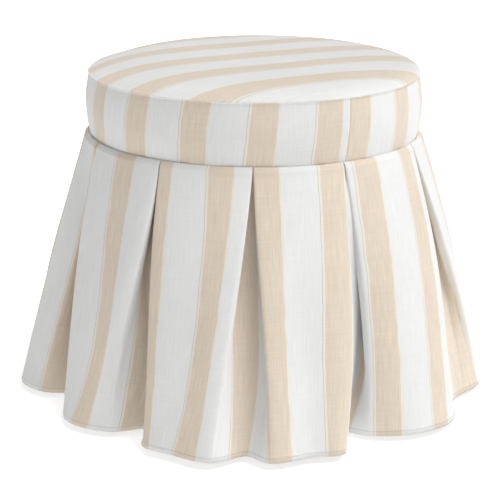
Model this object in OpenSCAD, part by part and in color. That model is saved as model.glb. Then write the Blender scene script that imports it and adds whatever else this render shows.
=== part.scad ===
// Round upholstered ottoman: a padded drum seat on a plywood frame with four hidden legs,
// dressed with a floor-length skirt in inverted box pleats.
// The origin is on the floor under the middle of the seat; +Z is up and the front faces -Y.

/* [Seat] */
// Diameter of the seat at its top seam
seat_d = 453; // [400:0.5:540]
// Height of the boxing band between its two seams
band_h = 85; // [60:1:110]
// Height of the crown above the top seam
crown_h = 24.5; // [12:0.5:35]
// How far the band swells past a straight side
band_bulge = 5.2; // [1:0.1:7]
// How far the band draws in at the skirt seam
band_tuck = 0.2; // [0:0.1:4]
// Thickness of the cover cloth and the skirt's face cloth
cloth_t = 1; // [0.6:0.1:1.1]
// Thickness of the wadding over the top of the foam
wadding_t = 12; // [6:0.5:16]
// Thickness of the wadding down the sides
wadding_side_t = 4; // [2:0.5:8]

/* [Skirt] */
// Height of the skirt from the low point of its hem to its seam
skirt_drop = 348; // [280:1:420]
// Height of the low points of the hem above the floor
hem_clear = 3; // [2:0.5:20]
// How much higher the hem lies where it flares out
hem_lift = 7; // [0:0.5:14]
// How far the hem stands out past the seat at a full flare
skirt_flare = 130; // [80:1:150]
// Number of box pleats
pleats = 11; // [9:1:13]
// Cloth hidden in one closed pleat
pleat_take_up = 121; // [90:1:130]
// Thickness of the skirt's lining
lining_t = 0.5; // [0.3:0.1:0.7]
// How much shorter the lining is than the skirt
lining_short = 12; // [6:1:30]
// Height of the cardboard tack strip under the skirt seam
tack_h = 12; // [8:1:20]
// Thickness of the cardboard tack strip
tack_t = 1.2; // [0.8:0.1:1.3]

/* [Frame] */
// Thickness of the two plywood rings
ring_t = 18; // [12:1:25]
// Width of the plywood rings
ring_w = 50; // [40:1:60]
// Height of the top ring's upper face above the skirt seam
ring_rise = 14; // [10:1:24]
// Height of the frame from the lower ring's underside to the top ring's upper face
frame_h = 75; // [60:1:110]
// Thickness of the fibreboard hoop round the rings
hoop_t = 3; // [2:0.5:5]
// Length of a spacer block along the ring
block_l = 60; // [40:1:80]
// Width of a spacer block
block_w = 34; // [24:1:38]

/* [Legs] */
// Side of a leg's square top
leg_w = 42; // [32:1:48]
// Side of a leg's square foot
foot_w = 30; // [22:1:32]
// Distance from a leg's outer face to the rim of the plywood rings
leg_inset = 13; // [8:1:18]
// Height of a nail-on glide
glide_h = 6; // [4:0.5:10]
// Diameter of a glide
glide_d = 22; // [16:1:22]

/* [Webbing] */
// Width of a webbing strap
strap_w = 50; // [40:1:56]
// Thickness of a webbing strap
strap_t = 1.6; // [1:0.1:2.4]
// Distance between the middles of two straps
strap_spacing = 72; // [66:1:74]

/* [Hidden] */
$fn = 96;

// Clearance between soft pieces and their neighbours
soft_gap = 0.3;
// Overrun of a cut past the face that it opens
over = 1;
seat_r = seat_d / 2;
seam_z = hem_clear + skirt_drop;
top_z = seam_z + band_h;

// Outline of the seat
band_steps = 10;
crown_steps = 14;
// Powers of the crown's curve: flat in the middle, quick at the edge
crown_n = 4.3;
crown_m = 1.38;
// How far the band runs on below the skirt seam, under the tack strip
band_tail = 24;

// Skirt layers at the seam, from the outside in
fold_gap = 2.4;
layer_step = 3.5;
under_step = 1.2;
lining_gap = 0.6;
lining_back = cloth_t / 2 + lining_gap + lining_t / 2;
tack_r = seat_r - band_tuck + soft_gap + tack_t;
skirt_r = tack_r + soft_gap + lining_t / 2 + lining_back + under_step + layer_step;
// The seam's fold leans in to the band over this height
shoulder_h = 5;
shoulder_in = 2;
shoulder_up = 1;
lining_down = 6;

// Pleats: the first is near the middle of the front, and they are counted to the right
pleat_step = 360 / pleats;
pleat_turn = -0.5;
fold_d = pleat_take_up / 4;
panel_l = 2 * PI * skirt_r / pleats;
pleat_cloth = pleat_take_up + panel_l;
fold_round = 7;
// Shares of the flare that the hem reaches, four to a pleat: behind the pleat, at the panel's
// left side, at its middle and at its right side
hem_reach_shares = [
    [0.85, 1.04, 0.95, 0.93],
    [0.35, 0.62, 0.87, 0.92],
    [0.65, 0.79, 0.70, 0.76],
    [0.42, 0.80, 1.00, 0.77],
    [0.47, 0.86, 1.00, 0.90],
    [0.42, 0.80, 1.05, 0.95],
    [0.55, 0.92, 1.03, 0.88],
    [0.40, 0.78, 0.94, 0.82],
    [0.30, 0.50, 0.81, 0.68],
    [0.31, 0.71, 0.84, 0.73],
    [0.45, 0.86, 0.96, 1.07]
];
// Shares of a pleat's angle that the hem has swung to the right at the same four places
hem_swing_shares = [
    [-0.02, -0.10, -0.08, -0.10],
    [-0.25, -0.32, -0.29, -0.20],
    [-0.06, 0.06, 0.26, 0.12],
    [0.06, 0.05, 0.03, 0.03],
    [0.05, 0, -0.03, 0],
    [0, -0.06, 0, 0.06],
    [-0.03, -0.06, 0.03, 0.06],
    [0.03, 0, 0, 0.08],
    [-0.02, -0.08, 0.18, 0.23],
    [0.15, 0.18, 0.17, 0.19],
    [0.12, 0.02, 0, 0.02]
];
// Shares of a pleat's angle by which the pleat lines lie to the right of a regular round
pleat_line_shares = [0.01, -0.07, -0.05, 0.02, 0.03, -0.02, -0.03, 0.02, 0.01, 0.06, 0.07];
// Shares of a pleat's angle by which the cloth bows to the right on its way down, at the same
// four places
hem_bow_shares = [
    [0.06, 0.02, 0.01, 0.08],
    [0.26, 0.03, 0.01, 0.02],
    [0.05, 0.02, 0.04, 0.04],
    [0, 0.02, 0.03, 0.01],
    [0.03, 0, -0.02, 0],
    [0, 0.03, 0, -0.03],
    [-0.02, 0, 0.03, 0.02],
    [0.02, 0.03, 0, 0],
    [0, 0.04, 0.11, 0.04],
    [0, 0.04, 0.13, -0.04],
    [0.18, 0.03, 0.03, -0.01]
];
// Where the bow is full, as a share of the drop, and the size of its curve there
bow_peak_share = 0.646;
bow_peak = bow_peak_share * sin(180 * bow_peak_share);
// Shares of the drop at which the skirt's rings lie, below the shoulder
skirt_ring_shares = [0, 0.36, 0.7, 1];
// Share of the flare by which the skirt swells out halfway down
skirt_swell_share = 0.08;
// How many times its depth at the seam a pleat is deeper halfway down
pleat_hollow = 2.6;

// Frame places, from the top down
ring_top_z = seam_z + ring_rise;
ring_low_z = ring_top_z - ring_t;
frame_z = ring_top_z - frame_h;
block_z = frame_z + ring_t;
block_h = ring_low_z - block_z;
hoop_r = seat_r - band_tuck - cloth_t - soft_gap;
ring_r = hoop_r - hoop_t - soft_gap;
ring_in_r = ring_r - ring_w;
dust_t = 0.6;
block_r = ring_r - ring_w / 2;
leg_r = ring_r - leg_inset - leg_w / 2;
leg_angles = [225, 315, 135, 45];
block_angles = [22.5, 67.5, 112.5, 157.5, 202.5, 247.5, 292.5, 337.5];

// Fasteners
screw_r = 2.2;
screw_head_r = 4.2;
screw_head_h = 3;
screw_tip_h = 5;
leg_screw_l = 60;
leg_screw_x = 9;
block_screw_l = 40;
block_screw_x = 16;
staple_w = 10;
staple_l = 10;
staple_t = 0.7;
staple_wire = 1;
deck_staples_n = 16;
band_staples_n = 22;
dust_staples_n = 16;
nail_r = 1.2;
nail_l = 18;

// Deck
deck_t = 0.8;
deck_r = ring_r - soft_gap;
deck_flat = 6;
strap_end_r = deck_r - deck_flat - 2 * soft_gap;
strap_level = strap_t + soft_gap;
deck_z = ring_top_z + strap_t + strap_level + soft_gap;
deck_edge_z = ring_top_z + soft_gap / 3;
foam_z = deck_z + deck_t + soft_gap;
strap_count = 4;
strap_places = [for (i = [0:strap_count - 1]) (i - (strap_count - 1) / 2) * strap_spacing];
strap_flat = 2;

// Radius of the band's outside at a share of its height
function band_r(share) = seat_r - band_tuck * (1 - share) + band_bulge * sin(180 * share);

// Height of a crown of radius r and height h above the seam, at a distance x from the axis
function crown_z(x, r, h) = h * pow(max(0, 1 - pow(x / r, crown_n)), 1 / crown_m);

// Half outline of the seat's side and crown, set in from the outside by side and top,
// from the share of the band's height where it starts
function seat_side(start, side) = [for (i = [0:band_steps])
    let (share = start + (1 - start) * i / band_steps)
    [band_r(share) - side, seam_z + band_h * share]];
function seat_crown(side, top) = [for (i = [1:crown_steps])
    let (x = (seat_r - side) * cos(90 * i / crown_steps))
    [x, top_z + crown_z(x, seat_r - side, crown_h - top)]];

// Wood screw pointing down, with its head's upper face at the origin; it also cuts its own hole
module screw(length) {
    rotate_extrude()
        polygon([[0, 0], [screw_head_r, 0], [screw_r, -screw_head_h], [screw_r, screw_tip_h - length],
                 [0, -length]]);
}

// Staple whose crown lies on the plane z = 0 and whose legs point down
module staple() {
    translate([-staple_w / 2, -staple_wire / 2, 0])
        cube([staple_w, staple_wire, staple_t]);
    for (side = [0, 1])
        translate([side * (staple_w - staple_t) - staple_w / 2, -staple_wire / 2, -staple_l])
            cube([staple_t, staple_wire, staple_l + staple_t / 2]);
}

// Staples round an upright face of radius r, their legs towards the axis
module side_staples(r, z, count, turn) {
    for (i = [0:count - 1])
        rotate([0, 0, turn + 360 * i / count])
            translate([r, 0, z])
                rotate([90, 0, 90])
                    staple();
}

// Staples on a level face at height z, down into it, or up into it from below
module level_staples(r, z, count, turn, up) {
    for (i = [0:count - 1])
        rotate([0, 0, turn + 360 * i / count])
            translate([r, 0, z])
                rotate([up ? 180 : 0, 0, 90])
                    staple();
}

module ring(z) {
    translate([0, 0, z])
        difference() {
            cylinder(h = ring_t, r = ring_r);
            translate([0, 0, -over])
                cylinder(h = ring_t + 2 * over, r = ring_in_r);
        }
}

// Seat
module seat_top_cover() {
    color("ivory")
        rotate_extrude()
            difference() {
                polygon(concat([[0, top_z], [seat_r, top_z]], seat_crown(0, 0)));
                polygon(concat([[0, top_z - over], [seat_r - cloth_t, top_z - over],
                                [seat_r - cloth_t, top_z]],
                               seat_crown(cloth_t, cloth_t)));
            }
}

module boxing_band() {
    outer = seat_side(0, 0);
    inner = seat_side(0, cloth_t);
    color("bisque")
        difference() {
            rotate_extrude()
                polygon(concat([[seat_r - band_tuck - cloth_t, seam_z - band_tail],
                                [seat_r - band_tuck, seam_z - band_tail]],
                               outer, [for (i = [band_steps:-1:0]) inner[i]]));
            band_staple_set();
            skirt_staple_set();
        }
}

module wadding_cap() {
    start = (ring_rise + soft_gap) / band_h;
    side = cloth_t + soft_gap;
    color("white")
        rotate_extrude()
            difference() {
                polygon(concat([[0, ring_top_z + soft_gap]], seat_side(start, side),
                               seat_crown(side, side)));
                polygon(concat([[0, ring_top_z], [band_r(start) - side - wadding_side_t, ring_top_z]],
                               seat_side(start, side + wadding_side_t),
                               seat_crown(side + wadding_side_t, side + wadding_t)));
            }
}

module foam_core() {
    start = (foam_z - seam_z) / band_h;
    side = cloth_t + 2 * soft_gap + wadding_side_t;
    color("khaki")
        rotate_extrude()
            polygon(concat([[0, foam_z]], seat_side(start, side),
                           seat_crown(side, side + wadding_t - wadding_side_t)));
}

// Deck
module deck_cloth() {
    flat_r = strap_end_r - deck_flat;
    edge_r = strap_end_r + 2 * soft_gap;
    color("burlywood")
        difference() {
            rotate_extrude()
                polygon([[0, deck_z], [flat_r, deck_z], [edge_r, deck_edge_z], [deck_r, deck_edge_z],
                         [deck_r, deck_edge_z + deck_t], [edge_r + soft_gap, deck_edge_z + deck_t],
                         [flat_r, deck_z + deck_t], [0, deck_z + deck_t]]);
            deck_staple_set();
        }
}

// Half the length of the strap whose middle line lies at place
function strap_half(place) = sqrt(pow(strap_end_r, 2) - pow(abs(place) + strap_w / 2, 2));

// Height of a strap's underside along it, as pairs of place and height. It passes under the first
// strap that it crosses where first is 0, over the next, and so on
function strap_line(first) = let (
    pad = strap_w / 2 + strap_flat,
    ramp = strap_w / 4,
    last = strap_places[strap_count - 1] + pad + ramp)
    concat([[-deck_r - ramp, 0], [-last, 0]],
           [for (i = [0:strap_count - 1], side = [-1, 1])
               [strap_places[i] + side * pad, strap_level * ((i + first) % 2)]],
           [[last, 0], [deck_r + ramp, 0]]);

// One strap along +X whose middle line lies at y = place, cut square at its ends
module strap(place, first) {
    line = strap_line(first);
    half = strap_half(place);
    translate([0, place, ring_top_z])
        intersection() {
            translate([0, strap_w / 2, 0])
                rotate([90, 0, 0])
                    linear_extrude(strap_w)
                        polygon(concat(line, [for (i = [len(line) - 1:-1:0]) line[i] + [0, strap_t]]));
            translate([-half, -strap_w, -over])
                cube([half * 2, strap_w * 2, strap_t + strap_level + 2 * over]);
        }
}

module webbing_lengthwise() {
    color("tan")
        difference() {
            for (i = [0:strap_count - 1])
                strap(strap_places[i], i % 2);
            webbing_staple_set(0);
        }
}

module webbing_crosswise() {
    color("peru")
        difference() {
            rotate([0, 0, 90])
                for (i = [0:strap_count - 1])
                    strap(strap_places[i], i % 2);
            webbing_staple_set(90);
        }
}

// Two staples at each end of the straps that run at an angle turn
module webbing_staple_set(turn) {
    rotate([0, 0, turn])
        for (i = [0:strap_count - 1], side = [-1, 1], row = [-1, 1]) {
            place = strap_places[i];
            x = side * (strap_half(place) - staple_wire * 4);
            translate([x, place + row * strap_w / 4, ring_top_z + strap_t + lookup(x, strap_line(i % 2))])
                rotate([0, 0, 90])
                    staple();
        }
}

module webbing_staples() {
    color("silver") {
        webbing_staple_set(0);
        webbing_staple_set(90);
    }
}

module deck_staple_set() {
    level_staples(deck_r - deck_flat / 2, deck_edge_z + deck_t, deck_staples_n, 180 / deck_staples_n,
                  false);
}

module deck_staples() {
    color("silver")
        deck_staple_set();
}

// Frame
module top_ring() {
    color("burlywood")
        difference() {
            ring(ring_low_z);
            leg_screw_set();
            upper_block_screw_set();
            webbing_staple_set(0);
            webbing_staple_set(90);
            deck_staple_set();
            skirt_staple_set();
        }
}

module bottom_ring() {
    color("burlywood")
        difference() {
            ring(frame_z);
            for (angle = leg_angles)
                leg_blank(angle);
            lower_block_screw_set();
            dust_staple_set();
        }
}

module spacer_blocks() {
    color("wheat")
        difference() {
            for (angle = block_angles)
                rotate([0, 0, angle])
                    translate([block_r - block_w / 2, -block_l / 2, block_z])
                        cube([block_w, block_l, block_h]);
            upper_block_screw_set();
            lower_block_screw_set();
        }
}

module side_hoop() {
    color("saddlebrown")
        difference() {
            translate([0, 0, frame_z])
                cylinder(h = frame_h, r = hoop_r);
            translate([0, 0, frame_z - over])
                cylinder(h = frame_h + 2 * over, r = hoop_r - hoop_t);
            band_staple_set();
            skirt_staple_set();
        }
}

// Square post before its taper
module leg_blank(angle) {
    rotate([0, 0, angle])
        translate([leg_r - leg_w / 2, -leg_w / 2, glide_h])
            cube([leg_w, leg_w, ring_low_z - glide_h]);
}

// A leg tapers on its four faces below the frame
module leg(angle) {
    fall = frame_z - glide_h;
    lean = atan((leg_w - foot_w) / 2 / fall);
    color("sienna")
        difference() {
            leg_blank(angle);
            rotate([0, 0, angle])
                translate([leg_r, 0, frame_z - dust_t - soft_gap])
                    for (side = [0:3])
                        rotate([0, 0, 90 * side])
                            translate([leg_w / 2, -leg_w, 0])
                                rotate([0, lean, 0])
                                    translate([0, 0, -fall * 2])
                                        cube([leg_w, leg_w * 2, fall * 2]);
            leg_screw_set();
            rotate([0, 0, angle])
                translate([leg_r, 0, glide_h])
                    cylinder(h = nail_l, r = nail_r);
        }
}

module leg_front_left() { leg(leg_angles[0]); }
module leg_front_right() { leg(leg_angles[1]); }
module leg_back_left() { leg(leg_angles[2]); }
module leg_back_right() { leg(leg_angles[3]); }

// A domed glide with its nail, moulded in one
module glide(angle) {
    color("dimgray")
        rotate([0, 0, angle])
            translate([leg_r, 0, 0])
                rotate_extrude()
                    polygon(concat([[0, 0]],
                                   [for (i = [0:6]) [glide_d / 2 - glide_h / 2 * (1 - sin(15 * i)),
                                                     glide_h / 2 * (1 - cos(15 * i))]],
                                   [[glide_d / 2, glide_h], [nail_r, glide_h],
                                    [nail_r, glide_h + nail_l - nail_r], [0, glide_h + nail_l]]));
}

module glide_front_left() { glide(leg_angles[0]); }
module glide_front_right() { glide(leg_angles[1]); }
module glide_back_left() { glide(leg_angles[2]); }
module glide_back_right() { glide(leg_angles[3]); }

// Fasteners
module leg_screw_set() {
    for (angle = leg_angles, side = [-1, 1])
        rotate([0, 0, angle])
            translate([leg_r, side * leg_screw_x, ring_top_z])
                screw(leg_screw_l);
}

module leg_screws() {
    color("gold")
        leg_screw_set();
}

module upper_block_screw_set() {
    for (angle = block_angles, side = [-1, 1])
        rotate([0, 0, angle])
            translate([block_r, side * block_screw_x, ring_top_z])
                screw(block_screw_l - screw_tip_h);
}

module upper_block_screws() {
    color("gold")
        upper_block_screw_set();
}

module lower_block_screw_set() {
    for (angle = block_angles)
        rotate([0, 0, angle])
            translate([block_r, 0, frame_z])
                rotate([180, 0, 0])
                    screw(block_screw_l);
}

module lower_block_screws() {
    color("gold")
        lower_block_screw_set();
}

module band_staple_set() {
    side_staples(seat_r - band_tuck, seam_z - band_tail + staple_wire * 2, band_staples_n, 0);
}

module band_staples() {
    color("silver")
        band_staple_set();
}

module skirt_staple_set() {
    side_staples(tack_r, seam_z - shoulder_h - tack_h / 2, pleats, pleat_turn - 90 + pleat_step / 2);
}

module skirt_staples() {
    color("silver")
        skirt_staple_set();
}

module tack_strip() {
    color("lightgray")
        difference() {
            translate([0, 0, seam_z - shoulder_h - tack_h])
                cylinder(h = tack_h, r = tack_r);
            translate([0, 0, seam_z - shoulder_h - tack_h - over])
                cylinder(h = tack_h + 2 * over, r = tack_r - tack_t);
            skirt_staple_set();
        }
}

module dust_staple_set() {
    level_staples(ring_r - ring_w / 4, frame_z - dust_t, dust_staples_n, 180 / dust_staples_n, true);
}

module dust_cover() {
    color("dimgray")
        difference() {
            translate([0, 0, frame_z - dust_t])
                cylinder(h = dust_t, r = ring_r);
            for (angle = leg_angles)
                leg_blank(angle);
            dust_staple_set();
        }
}

module dust_cover_staples() {
    color("silver")
        dust_staple_set();
}

// Skirt. The cloth is one band folded into box pleats on the seat's side, and each straight
// line of it runs from a station at the seam to the same station of cloth at the hem.

// Stations of one pleat: cloth length from the middle of the underlay, place along the seam
// from the pleat's line, and depth behind the panels
stations = [
    [0, 0, layer_step + under_step],
    [fold_d - fold_round, fold_d, layer_step + under_step],
    [fold_d + fold_round, fold_d, layer_step],
    [2 * fold_d - fold_round, fold_gap / 2, layer_step],
    [2 * fold_d + fold_round, fold_gap / 2, 0],
    [2 * fold_d + panel_l / 3, panel_l / 3, 0],
    [2 * fold_d + panel_l * 2 / 3, panel_l * 2 / 3, 0],
    [2 * fold_d + panel_l - fold_round, panel_l - fold_gap / 2, 0],
    [2 * fold_d + panel_l + fold_round, panel_l - fold_gap / 2, layer_step],
    [3 * fold_d + panel_l - fold_round, panel_l - fold_d, layer_step],
    [3 * fold_d + panel_l + fold_round, panel_l - fold_d, layer_step + under_step]
];
columns = pleats * len(stations);

// Point at a radius and an angle to the right of the front
function plan_point(r, turn) = [r * sin(turn), -r * cos(turn)];

// Row of the tables that shapes a pleat
function pleat_row(pleat) =
    round((pleat + pleats) % pleats * len(hem_reach_shares) / pleats) % len(hem_reach_shares);

// Angle of a pleat's line at the seam, and the angle at which a column of the cloth starts there
function pleat_line(pleat) = pleat_turn + pleat_step * (pleat + pleat_line_shares[pleat_row(pleat)]);
function seam_turn(column) = let (
    pleat = floor(column / len(stations)),
    place = stations[column % len(stations)][1] / panel_l)
    pleat_line(pleat) * (1 - place) + pleat_line(pleat + 1) * place;

// Radius and angle of the hem at a quarter of a pleat, with the angle of the bow above it
function hem_key(quarter) = let (
    pleat = floor(quarter / 4),
    row = pleat_row(pleat),
    place = quarter - 4 * pleat)
    [seat_r + skirt_flare * hem_reach_shares[row][place],
     pleat_turn + pleat_step * (pleat + place / 4 + hem_swing_shares[row][place]),
     pleat_step * hem_bow_shares[row][place]];

// Smooth curve through four places, between the middle two
function smooth(a, b, c, d, t) = b + (c - a) * t / 2 + (a - b * 5 / 2 + c * 2 - d / 2) * pow(t, 2)
    + (b * 3 / 2 - a / 2 - c * 3 / 2 + d / 2) * pow(t, 3);

function hem_point(column) = let (
    pleat = floor(column / len(stations)),
    cloth = 4 * stations[column % len(stations)][0] / pleat_cloth,
    quarter = 4 * pleat + floor(cloth))
    smooth(hem_key(quarter - 1), hem_key(quarter), hem_key(quarter + 1), hem_key(quarter + 2),
           cloth - floor(cloth));

// The middle of the cloth at a share of the drop
function cloth_point(column, share) = let (
    station = stations[column % len(stations)],
    top_r = skirt_r - station[2],
    top_turn = seam_turn(column),
    hem = hem_point(column),
    out = share + skirt_swell_share * sin(180 * share),
    hollow = station[2] * pleat_hollow * sin(180 * share),
    bow = hem[2] * share * sin(180 * share) / bow_peak,
    turn = top_turn + (hem[1] - top_turn) * share + bow,
    low = hem_clear + hem_lift * (hem[0] - seat_r) / skirt_flare,
    high = seam_z - shoulder_h)
    [each plan_point(top_r + (hem[0] - top_r) * out - hollow, turn), high + (low - high) * share];

// One ring of the cloth's middle, a ring that lies on the straight cloth between two others,
// and the seam's fold that leans in over the top one
function cloth_ring(share) = [for (i = [0:columns - 1]) cloth_point(i, share)];
function ring_between(first, second, t) = [for (i = [0:columns - 1])
    first[i] + (second[i] - first[i]) * t];
function shoulder_ring() = [for (i = [0:columns - 1])
    [each plan_point(skirt_r - stations[i % len(stations)][2] - shoulder_in, seam_turn(i)),
     seam_z + shoulder_up]];

// Unit vector to the right of a step in plan, which is outward on the panels
function outward(a, b) = let (step = [b[0] - a[0], b[1] - a[1]]) [step[1], -step[0]] / norm(step);

// A ring set off to the right of its way round by a distance, kept in proportion at sharp folds
function set_off(ring, distance) = [for (i = [0:len(ring) - 1]) let (
    before = outward(ring[(i + len(ring) - 1) % len(ring)], ring[i]),
    after = outward(ring[i], ring[(i + 1) % len(ring)]),
    middle = (before + after) / norm(before + after),
    shift = middle * distance / max(1 / 2, middle * before))
    [ring[i][0] + shift[0], ring[i][1] + shift[1], ring[i][2]]];

// Lower edge of a stack of rings. Cut off at a share of the last row's height, it has a second
// point in each column, where the edge crosses from one of the row's two faces to the other
function lower_edge(above, below, share) = share < 1
    ? [for (i = [0:columns - 1]) each [
        above[i] + (below[i] - above[i]) * share,
        above[(i + 1) % columns] + (below[i] - above[(i + 1) % columns]) * share]]
    : below;

// Closed cloth between two stacks of rings, with the last row cut off at a share of its height
module cloth(rings, thickness, middle, last_share) {
    rows = len(rings) - 1;
    per_column = last_share < 1 ? 2 : 1;
    points = [for (side = [1, -1]) let (
        stack = [for (ring = rings) set_off(ring, middle + side * thickness / 2)])
        each concat([for (row = [0:rows - 1]) each stack[row]],
                    lower_edge(stack[rows - 1], stack[rows], last_share))];
    function at(side, row, i) = side * len(points) / 2 + row * columns + i % columns;
    function edge(side, i) = at(side, rows, 0) + i % (columns * per_column);
    faces = concat(
        [for (row = [0:1:rows - 2], i = [0:columns - 1]) each [
            [at(0, row, i), at(0, row, i + 1), at(0, row + 1, i)],
            [at(0, row, i + 1), at(0, row + 1, i + 1), at(0, row + 1, i)],
            [at(1, row, i), at(1, row + 1, i), at(1, row, i + 1)],
            [at(1, row, i + 1), at(1, row + 1, i), at(1, row + 1, i + 1)]]],
        [for (i = [0:columns - 1], j = [0:1:per_column - 2]) each [
            [at(0, rows - 1, i), edge(0, 2 * i + 1), edge(0, 2 * i)],
            [at(1, rows - 1, i), edge(1, 2 * i), edge(1, 2 * i + 1)]]],
        [for (i = [0:columns - 1]) let (
            left = per_column * (i + 1) - 1,
            right = per_column * (i + 1)) each [
            [at(0, rows - 1, i), at(0, rows - 1, i + 1), edge(0, left)],
            [at(0, rows - 1, i + 1), edge(0, right), edge(0, left)],
            [at(1, rows - 1, i), edge(1, left), at(1, rows - 1, i + 1)],
            [at(1, rows - 1, i + 1), edge(1, left), edge(1, right)]]],
        [for (i = [0:columns - 1]) each [
            [at(0, 0, i), at(1, 0, i), at(0, 0, i + 1)],
            [at(0, 0, i + 1), at(1, 0, i), at(1, 0, i + 1)]]],
        [for (i = [0:columns * per_column - 1]) each [
            [edge(0, i), edge(0, i + 1), edge(1, i)],
            [edge(0, i + 1), edge(1, i + 1), edge(1, i)]]]);
    polyhedron(points, faces);
}

skirt_rings = [for (share = skirt_ring_shares) cloth_ring(share)];

module skirt() {
    color("antiquewhite")
        cloth(concat([shoulder_ring()], skirt_rings), cloth_t, 0, 1);
}

// The lining is folded with the skirt and lies on its back, starting lower and ending higher
module skirt_lining() {
    drop = skirt_drop - shoulder_h;
    first_share = lining_down / drop / skirt_ring_shares[1];
    last_share = 1 - lining_short / drop / (1 - skirt_ring_shares[len(skirt_rings) - 2]);
    color("snow")
        cloth(concat([ring_between(skirt_rings[0], skirt_rings[1], first_share)],
                     [for (i = [1:len(skirt_rings) - 1]) skirt_rings[i]]),
              lining_t, -lining_back, last_share);
}

seat_top_cover();
boxing_band();
wadding_cap();
foam_core();
deck_cloth();
webbing_lengthwise();
webbing_crosswise();
top_ring();
bottom_ring();
spacer_blocks();
side_hoop();
leg_front_left();
leg_front_right();
leg_back_left();
leg_back_right();
glide_front_left();
glide_front_right();
glide_back_left();
glide_back_right();
leg_screws();
upper_block_screws();
lower_block_screws();
webbing_staples();
deck_staples();
band_staples();
tack_strip();
skirt_staples();
skirt();
skirt_lining();
dust_cover();
dust_cover_staples();
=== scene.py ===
from math import atan2, cos, degrees, floor, pi, radians, sin, sqrt

import bmesh
import bpy
from mathutils import Matrix, Vector, noise


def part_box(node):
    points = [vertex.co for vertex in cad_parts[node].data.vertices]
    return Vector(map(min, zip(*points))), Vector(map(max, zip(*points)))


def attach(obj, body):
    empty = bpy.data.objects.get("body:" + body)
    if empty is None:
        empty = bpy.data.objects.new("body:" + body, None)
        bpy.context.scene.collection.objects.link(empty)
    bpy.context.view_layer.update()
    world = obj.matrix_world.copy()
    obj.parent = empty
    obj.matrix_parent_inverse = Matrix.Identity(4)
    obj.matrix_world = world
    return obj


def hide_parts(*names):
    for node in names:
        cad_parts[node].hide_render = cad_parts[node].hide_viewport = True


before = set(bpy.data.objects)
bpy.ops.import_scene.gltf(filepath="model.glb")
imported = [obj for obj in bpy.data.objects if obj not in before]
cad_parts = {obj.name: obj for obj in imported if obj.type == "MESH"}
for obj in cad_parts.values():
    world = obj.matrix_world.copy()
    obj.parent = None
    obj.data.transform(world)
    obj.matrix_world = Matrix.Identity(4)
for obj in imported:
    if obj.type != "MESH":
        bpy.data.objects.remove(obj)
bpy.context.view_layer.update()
MM = 0.001

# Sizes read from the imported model, or the same as in its source
top_low, top_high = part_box("seat_top_cover")
band_low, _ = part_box("boxing_band")
tack_low, tack_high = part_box("tack_strip")
ring_low, ring_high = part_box("top_ring")
dust_low, dust_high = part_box("dust_cover")
leg_low, leg_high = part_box("leg_front_right")
SEAT_R = (top_high.x - top_low.x) / 2
TOP_Z = top_low.z
SHOULDER_H = 5 * MM
SEAM_Z = tack_high.z + SHOULDER_H
BAND_H = TOP_Z - SEAM_Z
TACK_R = (tack_high.x - tack_low.x) / 2
RING_R = (ring_high.x - ring_low.x) / 2
RING_TOP = ring_high.z
LEG_W = 42 * MM

# The cover: its thickness and the room between two pieces that touch
COVER_T = 1 * MM
CLEAR = 0.3 * MM

# The band's outline is the model's. The crown is a little flatter here, fitted to the stripes across
# it: the powers of its curve along the radius and in height, and how the latter changes to the right
BAND_BULGE = 5.2 * MM
BAND_TUCK = 0.2 * MM
BAND_R0 = SEAT_R - BAND_TUCK
CROWN_H = 20 * MM
CROWN_N = 5.3
CROWN_M = 1.72
CROWN_SOFT = 0.84

# The skirt's layers at the seam and the cloth in a pleat
PLEATS = 11
PLEAT_STEP = 360 / PLEATS
PLEAT_TURN = -0.5
FIRST_PLEAT = -5
TAKE_UP = 121 * MM
CLOTH_T = 1 * MM
LINING_T = 0.5 * MM
LINING_BACK = 1.35 * MM
LAYER_STEP = 3.5 * MM
UNDER_STEP = 1.2 * MM
FOLD_GAP = 2.4 * MM
TURN_R = LAYER_STEP / 2
TURN_L = TURN_R * pi / 2
SKIRT_R = TACK_R + CLEAR + LINING_T / 2 + LINING_BACK + UNDER_STEP + LAYER_STEP
FOLD_D = TAKE_UP / 4
PANEL_L = 2 * pi * SKIRT_R / PLEATS
PLEAT_CLOTH = TAKE_UP + PANEL_L

# The skirt's hang: how far the hem reaches, its height, and the swell and hollows on the way down
FLARE = 130 * MM
HEM_CLEAR = 3 * MM
HEM_LIFT = 7 * MM
SWELL_SHARE = 0.08
PLEAT_HOLLOW = 2.6
BOW_PEAK = 0.646 * sin(pi * 0.646)
# The curve share * (1 - share) ** 2 peaks at a third of the way down, and this makes its peak 1
THIRD_PEAK = 6.75
# The shoulder's edge at the seam: its room to the band, more room at the folds, and how far it turns up
SEAM_CLEAR = 0.6 * MM
FOLD_ROOM = 1.5 * MM
FOLD_EASE = 20 * MM
TURNED_UP = 3 * MM
TURN_UP_SHARE = 0.45
# Small unevenness of hanging cloth: waves to a metre of length, waves down the drop, place in the
# noise, and size
RIPPLES = [(9, 1.7, 3.1, 1.8 * MM), (26, 3.2, 8.7, 0.7 * MM)]
RIPPLE_ONSET = 1.6
# Less than any step between two columns, and the distance at which points are one
TINY = 1e-9
SAME_POINT = 0.02 * MM

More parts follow.
